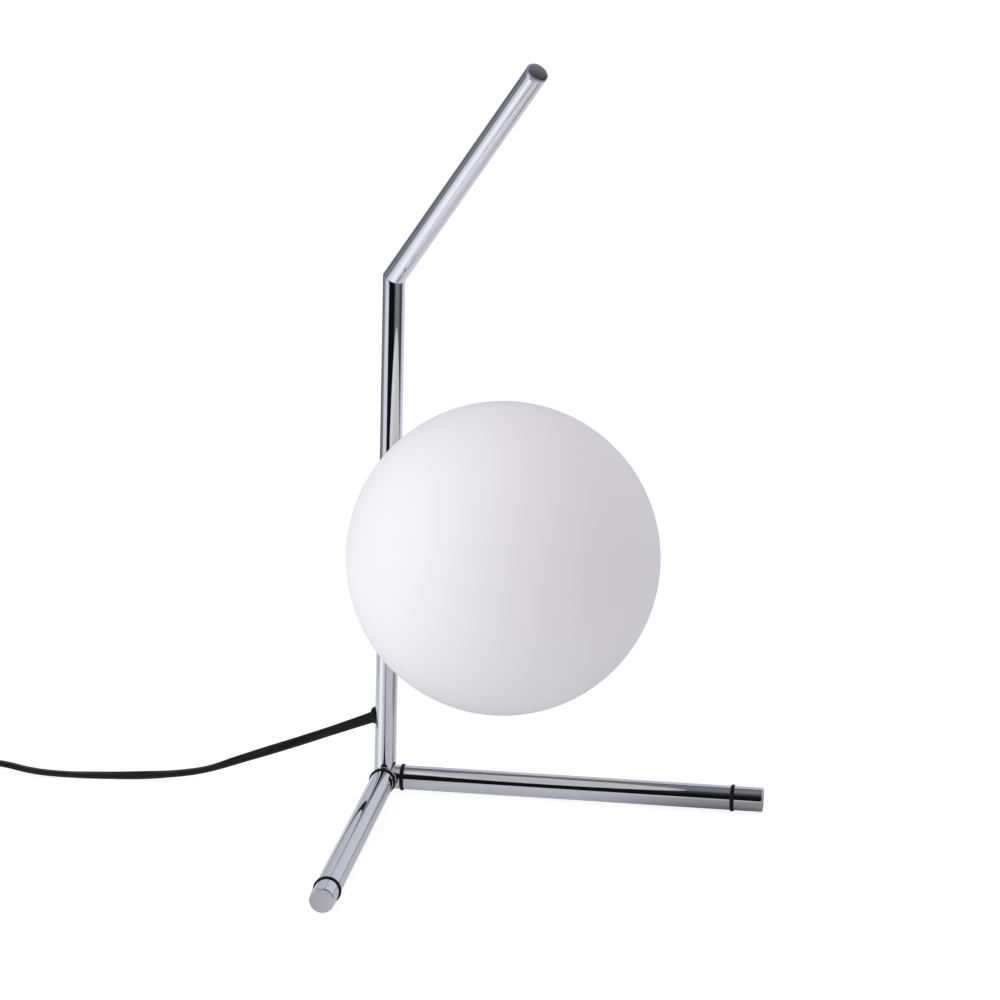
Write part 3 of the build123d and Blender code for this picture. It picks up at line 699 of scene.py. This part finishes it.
def soft_shading():
    """Node tree: merges a solid's triangles and shades it smooth up to a crease angle."""
    tree = bpy.data.node_groups.new("soft_shading", "GeometryNodeTree")
    for way in ("INPUT", "OUTPUT"):
        tree.interface.new_socket("Geometry", in_out=way, socket_type="NodeSocketGeometry")
    add = node_adder(tree)
    merge = add("GeometryNodeMergeByDistance", {"Geometry": add("NodeGroupInput"), "Distance": 2e-6})
    shade = add("GeometryNodeSetShadeSmooth", {"Geometry": merge}, domain="FACE")
    angle = add("GeometryNodeInputMeshEdgeAngle")
    over = add("FunctionNodeCompare", {"A": angle.outputs["Unsigned Angle"], "B": math.radians(32.0)},
               operation="GREATER_THAN")
    crease = add("GeometryNodeSetShadeSmooth", {"Geometry": shade, "Selection": over,
                                                "Shade Smooth": False}, domain="EDGE")
    add("NodeGroupOutput", {0: crease})
    return tree


shading_tree = soft_shading()


def dress(material, *names):
    """The frame's own solids stay, with this finish and smooth shading."""
    for node in [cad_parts[name] for name in names]:
        node.data.materials.clear()
        node.data.materials.append(material)
        node.modifiers.new("soft_shading", "NODES").node_group = shading_tree


steel = finish_material("zinc_plate", (0.55, 0.55, 0.53), 0.32, metallic=1.0, spread=0.15, scale=400.0,
                        tint=0.15, tint_scale=160.0)
dress(steel, "column_foot_plug", "foot_screw", "foot_washer")

# ---- nipple and the carrier's fastenings -----------------
# A hollow threaded steel nipple holds the carrier to the boss with a washer and a nut. A
# cream plastic bush keeps the wires off its edge.
cream = finish_material("cream_plastic", (0.74, 0.70, 0.60), 0.5, spread=0.12, scale=900.0, tint=0.06,
                        tint_scale=110.0)
dress(steel, "hollow_nipple", "carrier_washer", "carrier_nut")
dress(cream, "nipple_bush")

# ---- carrier gasket and grip ring ------------------------
# Translucent silicone: the flat gasket keeps the glass off the carrier's flange, and the
# ring in the spigot's groove grips the glass neck.
silicone = finish_material("silicone", (0.68, 0.68, 0.65), 0.38, scale=500.0, tint=0.05,
                           tint_scale=120.0)
dress(silicone, "carrier_gasket", "carrier_grip_ring")

# ---- lampholder ------------------------------------------
# A black thermoset holder that screws onto the nipple, locked by a grub screw. Its outer
# shell has moulded ribs to grip, and the ceramic insert carries the brass contacts.
holder_radius = 0.014
ribs_middle = 0.0655
thermoset = finish_material("thermoset", (0.014, 0.014, 0.015), 0.33, scale=700.0, tint=0.5)
brass = finish_material("brass", (0.72, 0.52, 0.20), 0.28, metallic=1.0, spread=0.12, scale=300.0, tint=0.08)
nickel = finish_material("nickel_plate", (0.62, 0.60, 0.56), 0.18, metallic=1.0, spread=0.08, scale=300.0,
                         tint=0.06)
dress(thermoset, "lampholder_base", "lampholder_shell")
dress(cream, "lampholder_insert")
dress(brass, "lampholder_contacts", "lampholder_terminals")
dress(nickel, "lampholder_screw_shell")
dress(steel, "lampholder_grub_screw")


rib_sizes = ("Rib Width", "Rib Height", "Rib Length")


def rib_shape(entry, add):
    """One moulded rib: a long low bead with tapered ends."""
    bead = add("GeometryNodeMeshUVSphere", {"Segments": 12, "Rings": 14, "Radius": 0.5})
    size = add("ShaderNodeCombineXYZ", dict(enumerate(entry[label] for label in rib_sizes)))
    return add("GeometryNodeTransform", {"Geometry": bead, "Scale": size})


def ribs_around():
    """Grows ribs on a cylinder about Z; half of each bead lies in the wall."""
    entry, add, close = new_tree("ribs_around", (*rib_sizes, "Wall Radius"), Count="Int")
    share = worked_out(add, "DIVIDE", add("GeometryNodeInputIndex"), entry["Count"])
    turn = worked_out(add, "MULTIPLY", share, 2 * math.pi)
    spoke = add("ShaderNodeCombineXYZ", {
        "X": worked_out(add, "COSINE", turn), "Y": worked_out(add, "SINE", turn)})
    reach = add("ShaderNodeVectorMath", {0: spoke, "Scale": entry["Wall Radius"]}, operation="SCALE")
    places = add("GeometryNodePoints", {"Count": entry["Count"], "Position": reach})
    lean = add("ShaderNodeCombineXYZ", {"Z": worked_out(add, "SUBTRACT", turn, math.pi / 2)})
    return close(add("GeometryNodeInstanceOnPoints", {
        "Points": places, "Instance": rib_shape(entry, add), "Rotation": lean}))


holder_ribs = grown_piece("lampholder_ribs", ribs_around(), {
    "Count": 30, "Rib Width": 0.0011, "Rib Height": 0.0009, "Rib Length": 0.027,
    "Wall Radius": holder_radius}, thermoset, globe_place @ Matrix.Translation((0, 0, ribs_middle)))
on_body(holder_ribs, "stand")

# ---- bulb ------------------------------------------------
# An LED bulb with a nickelled screw cap: a white plastic housing, an aluminium board and
# an opal plastic dome that is glued over it.
white_plastic = finish_material("white_plastic", (0.80, 0.80, 0.79), 0.32, spread=0.08, scale=600.0,
                                tint=0.02)
dome_plastic = finish_material("dome_plastic", (0.88, 0.88, 0.86), 0.42, spread=0.06, scale=300.0,
                               tint=0.015)
board_metal = finish_material("board_metal", (0.70, 0.71, 0.72), 0.4, metallic=0.6, scale=500.0,
                              tint=0.05)
dress(nickel, "bulb_cap")
dress(white_plastic, "bulb_housing")
dress(dome_plastic, "bulb_diffuser")
dress(board_metal, "bulb_board")

# ---- wires in the column ---------------------------------
# The cord's sheath ends inside the column, held by a crimped steel stop. Its brown and its
# blue core go on through the nipple to the lampholder's terminals.
dress(cord_material, "cord_tail")
dress(steel, "cord_stop")
for wire, core, color in (("wire_live", "brown_core", (0.13, 0.045, 0.02)),
                          ("wire_neutral", "blue_core", (0.02, 0.07, 0.30))):
    dress(finish_material(core, color, 0.4, scale=1200.0, tint=0.2), wire)

# ---- inline switch ---------------------------------------
# Two moulded black shells, screwed together from below, with a ribbed rocker in a raised
# frame. Inside, the rocker presses a brass bridge onto two terminal blocks.
switch_place = on_table((-0.2285, 0.1957, 0), 139.0)
switch_high = 0.017
pivot_height = 0.013
rocker_swing = math.radians(9.0)
rocker_dish = 0.0042
first_rib = 0.0035
moulded = finish_material("moulded_black", (0.011, 0.011, 0.012), 0.42, spread=0.14, scale=1800.0,
                          depth=0.00006, tint=0.5)
rocker_black = finish_material("rocker_black", (0.008, 0.008, 0.009), 0.22, spread=0.08, scale=900.0,
                               tint=0.4)
dress(moulded, "switch_lower_shell", "switch_upper_shell", "switch_cord_clamps")
dress(rocker_black, "switch_rocker")
dress(steel, "switch_pivot", "switch_case_screws")
dress(brass, "switch_bridge", "switch_terminals")
dress(nickel, "switch_terminal_screws")


def loop_tree():
    """Grows a band round a rectangle with rounded corners, in the XY plane."""
    entry, add, close = new_tree("rounded_loop", ("Loop Length", "Loop Height", "Corner Radius",
                                                  "Band Thickness", "Band Width", "Band Corner"))

    def rounded_box(width, height, corner, count):
        box = add("GeometryNodeCurvePrimitiveQuadrilateral", {"Width": entry[width], "Height": entry[height]})
        return add("GeometryNodeFilletCurve", {
            "Curve": box, "Radius": entry[corner], "Count": count, "Limit Radius": True}, mode="POLY")

    path = rounded_box("Loop Length", "Loop Height", "Corner Radius", 10)
    upright = add("GeometryNodeSetCurveNormal", {"Curve": path}, mode="Z_UP")
    return close(add("GeometryNodeCurveToMesh", {
        "Curve": upright,
        "Profile Curve": rounded_box("Band Thickness", "Band Width", "Band Corner", 4)}))


def ribs_in_row():
    """Grows a row of ribs along X, their length along Z."""
    entry, add, close = new_tree("ribs_in_row", (*rib_sizes, "Pitch"), Count="Int")
    step = add("ShaderNodeCombineXYZ", {"X": entry["Pitch"]})
    row = add("GeometryNodeMeshLine", {"Count": entry["Count"], "Offset": step})
    return close(add("GeometryNodeInstanceOnPoints", {"Points": row, "Instance": rib_shape(entry, add)}))


loop_band = loop_tree()
rib_row = ribs_in_row()
rocker_frame = on_body(grown_piece("switch_rocker_frame", loop_band, {
    "Loop Length": 0.0232, "Loop Height": 0.0126, "Corner Radius": 0.0014, "Band Thickness": 0.0013,
    "Band Width": 0.0009, "Band Corner": 0.0003}, moulded,
    switch_place @ Matrix.Translation((0, 0, switch_high))), "stand")
rib_lie = Matrix.Rotation(math.radians(90.0), 4, "X")
rocker_place = (switch_place @ Matrix.Translation((0, 0, pivot_height)) @
                Matrix.Rotation(rocker_swing, 4, "Y"))
for side, side_name in ((-1, "off"), (1, "on")):
    slope = Matrix.Rotation(-side * rocker_swing, 4, "Y")
    start = Matrix.Translation((side * first_rib, 0, rocker_dish + first_rib * math.tan(rocker_swing)))
    ribs = grown_piece(f"rocker_ribs_{side_name}", rib_row, {
        "Count": 4, "Rib Width": 0.0007, "Rib Height": 0.0007, "Rib Length": 0.0086,
        "Pitch": side * 0.0015}, rocker_black, rocker_place @ start @ slope @ rib_lie)
    on_body(ribs, "rocker")

# ---- plug ------------------------------------------------
# A flat two-pin plug, moulded on the cord in black PVC with a ribbed strain relief, and
# two nickelled brass pins. Low ribs on both broad sides give the fingers a hold.
plug_place = on_table((-0.1807, 0.325, 0.007), 5.4)
plug_thickness = 0.0137
plug_first_rib = 0.031
dress(moulded, "plug_body")
dress(nickel, "plug_pins")
for side, side_name in ((-1, "lower"), (1, "upper")):
    start = Matrix.Translation((plug_first_rib, 0, side * plug_thickness / 2))
    ribs = grown_piece(f"plug_ribs_{side_name}", rib_row, {
        "Count": 6, "Rib Width": 0.0012, "Rib Height": 0.0003, "Rib Length": 0.0165, "Pitch": 0.0026},
        moulded, plug_place @ start @ rib_lie)
    on_body(ribs, "stand")

# ---- coil ties -------------------------------------------
# Two straps of black hook-and-loop tape, 9 mm wide, that go round all the turns of the
# coil. The coil lies on them.
strap_gauge = 0.0009
strap_width = 0.009
strap_loop = 0.0135
tape = finish_material("hook_tape", (0.010, 0.010, 0.011), 0.8, spread=0.2, scale=2600.0, depth=0.00018,
                       specular=0.2, tint=0.9, tint_scale=900.0)
straps = []
for angle, strap_name in ((75, "front"), (255, "back")):
    coil_place = on_table((*coil_centre, strap_loop / 2 + strap_gauge / 2), angle)
    strap = grown_piece(f"coil_tie_{strap_name}", loop_band, {
        "Loop Length": strap_loop, "Loop Height": strap_loop, "Corner Radius": 0.0022,
        "Band Thickness": strap_gauge, "Band Width": strap_width, "Band Corner": 0.00025}, tape,
        coil_place @ Matrix.Translation((coil_mid, 0, 0)) @ rib_lie)
    straps.append(strap)
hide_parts("coil_ties")
for strap in straps:
    on_body(strap, "stand")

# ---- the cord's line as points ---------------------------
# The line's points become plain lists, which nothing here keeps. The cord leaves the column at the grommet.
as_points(cord_line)

# ---- studio ----------------------------------------------
# A white table, a big soft light on the left and one overhead. Behind the camera the room is
# dark, which gives the chrome its black lines.


softbox_size = 1.6
aim = column + Vector((0, -0.08, 0.2))


def softbox(name, place, power, color):
    """A square area light, aimed at the lamp's middle."""
    data = bpy.data.lights.new(name, "AREA")
    data.shape, data.size, data.energy, data.color = "SQUARE", softbox_size, power, color
    light = new_object(name, data)
    light.matrix_world = frame_along(place, (place - aim).normalized())
    light.visible_glossy = False


softbox("left_softbox", aim - camera_right * 1.56 + camera_back * 0.78 + up * 0.15, 15.6,
        (0.975, 0.985, 0.995))
softbox("top_softbox", aim + Vector((0.1, 0, 1.8)), 5.2, (1.0, 0.985, 1.0))

toward_camera = Vector((camera_back.x, camera_back.y, 0)).normalized()
across_camera = Vector((-toward_camera.y, toward_camera.x, 0))

# What the chrome mirrors, as pairs. The room around and the table are given by (bearing from the
# camera's in degrees, lightness) and the room overhead by (height in degrees, lightness). The
# room to the right is added to the one overhead, and comes lower; the one behind starts higher.
room_around = (
    (-180, 0.60), (-158, 0.45), (-146, 0.16), (-132, 0.13), (-125, 0.16), (-119, 0.31), (-113, 0.27),
    (-106, 0.17), (-101, 0.23), (-97, 0.38), (-91, 0.64), (-85, 0.75), (-72, 0.78), (-52, 0.78), (-46, 0.006),
    (8, 0.006), (24, 0.22), (50, 0.22), (78, 0.05), (90, 0.05), (104, 0.55), (130, 0.85), (152, 0.66),
    (180, 0.60))
room_over = ((0, 0.03), (50, 0.035), (57, 0.065), (67, 0.18), (84, 0.2), (90, 0.3))
room_right = ((-180, 0.0), (25, 0.0), (50, 0.30), (92, 0.28), (103, 0.05), (112, 0.0), (124, 0.18),
              (138, 0.25), (150, 0.0), (180, 0.0))
room_behind = ((-180, 0.16), (-152, 0.16), (-125, 0.0), (125, 0.0), (152, 0.16), (180, 0.16))
# The table's tones are painted light and shade that only the chrome sees: the bright band stands in for the
# left softbox's sheen on the table, the darker ones for shade.
painted_table_tones = (
    (-180, 0.80), (-121, 0.62), (-104, 0.54), (-89, 0.62), (-76, 0.95), (-64, 1.20), (-53, 1.20), (-42, 0.92),
    (-32, 0.64), (-22, 0.54), (-17, 0.22), (-11, 0.22), (-5, 0.50), (0, 0.50), (30, 0.50), (55, 0.55),
    (80, 0.50), (97, 0.46), (113, 0.52), (134, 0.70), (180, 0.80))
room_tint = (0.945, 0.97, 1.075)
ceiling_rise = (33.0, 42.0)
ceiling_shift = 115.0


def smooth_rise(add, value, low, high, start=0.0):
    """A node whose value rises smoothly from its start to 1 between two limits."""
    return add("ShaderNodeMapRange", {"Value": value, "From Min": low, "From Max": high, "To Min": start},
               interpolation_type="SMOOTHSTEP")


def mixed_shader(add, share, first, second):
    """A Mix Shader node between two others."""
    return add("ShaderNodeMixShader", {0: share, 1: first, 2: second})


def room_tone():
    """Node group: how light the room is in a direction, by its bearing and its height, and the
    painted sheen and shade of the table that is mirrored there."""
    group, add = new_group("room_tone", {"Direction": "Vector"}, {"Color": "Color", "Table": "Color"})
    entry = add("NodeGroupInput").outputs

    def angle_of(operation, *axes):
        parts = [add("ShaderNodeVectorMath", {0: entry[0], 1: axis}, operation="DOT_PRODUCT")
                 for axis in axes]
        angle = worked_out(add, operation, *[part.outputs["Value"] for part in parts])
        return worked_out(add, "DEGREES", angle)

    def ramp(value, low, high, stops):
        share = add("ShaderNodeMapRange", {"Value": value, "From Min": low, "From Max": high})
        tones = add("ShaderNodeValToRGB", {0: share})
        elements = tones.color_ramp.elements
        for index, (place, tone) in enumerate(stops):
            stop = elements[index] if index < 2 else elements.new(1.0)
            stop.position = (place - low) / (high - low)
            stop.color = (*[tone * tint for tint in room_tint], 1.0)
        return tones.outputs["Color"]

    bearing = angle_of("ARCTAN2", across_camera, toward_camera)
    height = angle_of("ARCSINE", up)
    around, beside, behind, table = [ramp(bearing, -180, 180, stops) for stops in (
        room_around, room_right, room_behind, painted_table_tones)]
    lowered = worked_out(add, "MULTIPLY_ADD", behind, -ceiling_shift, height)
    raised = worked_out(add, "MULTIPLY_ADD", beside, ceiling_shift, lowered)
    above = mixed_color(add, 1.0, ramp(height, 0, 90, room_over), beside, blend_type="ADD")
    add("NodeGroupOutput", {0: mixed_color(add, smooth_rise(add, raised, *ceiling_rise), around, above),
                            1: table})
    return group


room_group = room_tone()


def staged_sheet(name, corners, material_name):
    """A flat sheet of the studio, with a material of its own."""
    mesh = bpy.data.meshes.new(name)
    mesh.from_pydata([tuple(corner) for corner in corners], [], [(0, 1, 2, 3)])
    sheet = new_object(name, mesh)
    material = bpy.data.materials.new(material_name)
    material.use_nodes = True
    mesh.materials.append(material)
    return sheet


# A sheet of cloth high over the right leg and its front, which is seen only in the chrome.
leg_across = Vector((0.70711, -0.70711, 0))
leg_front = Vector((-0.70711, -0.70711, 0))
cloth_height = 1.0
cloth_tone = (0.43, 0.435, 0.45, 1)
cloth = staged_sheet("overhead_card", [
    column + leg_across * a + leg_front * b + up * cloth_height
    for a, b in ((-1.2, 0.0), (0.06, 0.0), (0.03, 0.95), (-1.2, 0.95))], "overhead_cloth")
for kind in ("camera", "diffuse", "transmission", "shadow"):
    setattr(cloth, f"visible_{kind}", False)
tree = cloth.active_material.node_tree
glow = node_adder(tree)("ShaderNodeEmission", {"Color": cloth_tone})
fill(tree, tree.nodes["Material Output"], {"Surface": glow})

# The table: matt white, and to the camera almost the white of the background. The chrome
# sees painted sheen and shade on it, painted darker near the right leg's end, and past its edge the room.
table_half = 6.0
white_for_camera = 0.72
painted_sheen_share = 0.65
table_edge = (0.70, 0.80)
painted_end_shade = (0.03, 0.135)
painted_end_share = 0.2
table = staged_sheet("table_top", [(x * table_half, y * table_half, 0) for x, y in (
    (-1, -1), (1, -1), (1, 1), (-1, 1))], "white_table")
tree = table.active_material.node_tree
add = node_adder(tree)
matt = tree.nodes["Principled BSDF"]
fill(tree, matt, {"Base Color": (0.93, 0.93, 0.94, 1), "Roughness": 0.9, "Specular IOR Level": 0.1})
ray = add("ShaderNodeLightPath").outputs
from_lamp = add("ShaderNodeVectorMath", {0: add("ShaderNodeTexCoord").outputs["Object"], 1: column},
                operation="SUBTRACT")
from_end = add("ShaderNodeVectorMath", {0: from_lamp, 1: leg_across * leg_length}, operation="DISTANCE")
tones = add("ShaderNodeGroup", {0: from_lamp}, node_tree=room_group)
white = add("ShaderNodeEmission", {"Strength": 1.2})
# Painted shade: near the right leg's end the table's painted sheen drops to a fifth.
painted_end_fade = smooth_rise(add, from_end.outputs["Value"], *painted_end_shade, painted_end_share)
painted_sheen_and_shade = add("ShaderNodeEmission", {"Color": tones.outputs["Table"], "Strength": painted_end_fade})
room_glow = add("ShaderNodeEmission", {"Color": tones})
shown = mixed_shader(add, worked_out(add, "MULTIPLY", ray["Is Camera Ray"], white_for_camera), matt, white)
near = mixed_shader(add, worked_out(add, "MULTIPLY", ray["Is Glossy Ray"], painted_sheen_share), shown, painted_sheen_and_shade)
distance = add("ShaderNodeVectorMath", {0: from_lamp}, operation="LENGTH")
past_edge = smooth_rise(add, distance.outputs["Value"], *table_edge)
whole = mixed_shader(add, worked_out(add, "MULTIPLY", past_edge, ray["Is Glossy Ray"]), near, room_glow)
fill(tree, tree.nodes["Material Output"], {"Surface": whole})

# The room: an even light for the surfaces, white for the camera and the tones for the chrome.
world = bpy.data.worlds.new("studio")
bpy.context.scene.world = world
world.use_nodes = True
tree = world.node_tree
add = node_adder(tree)
even = tree.nodes["Background"]
fill(tree, even, {"Color": (0.98, 0.935, 1.0, 1), "Strength": 0.62})
white = add("ShaderNodeBackground", {"Color": (1, 1, 1, 1)})
ray = add("ShaderNodeLightPath").outputs
seen = worked_out(add, "MAXIMUM", ray["Is Camera Ray"], ray["Is Transmission Ray"])
direction = add("ShaderNodeTexCoord").outputs["Generated"]
tones = add("ShaderNodeGroup", {0: direction}, node_tree=room_group)
mirrored = add("ShaderNodeBackground", {"Color": tones})
room = mixed_shader(add, ray["Is Glossy Ray"], mixed_shader(add, seen, even, white), mirrored)
fill(tree, tree.nodes["World Output"], {"Surface": room})
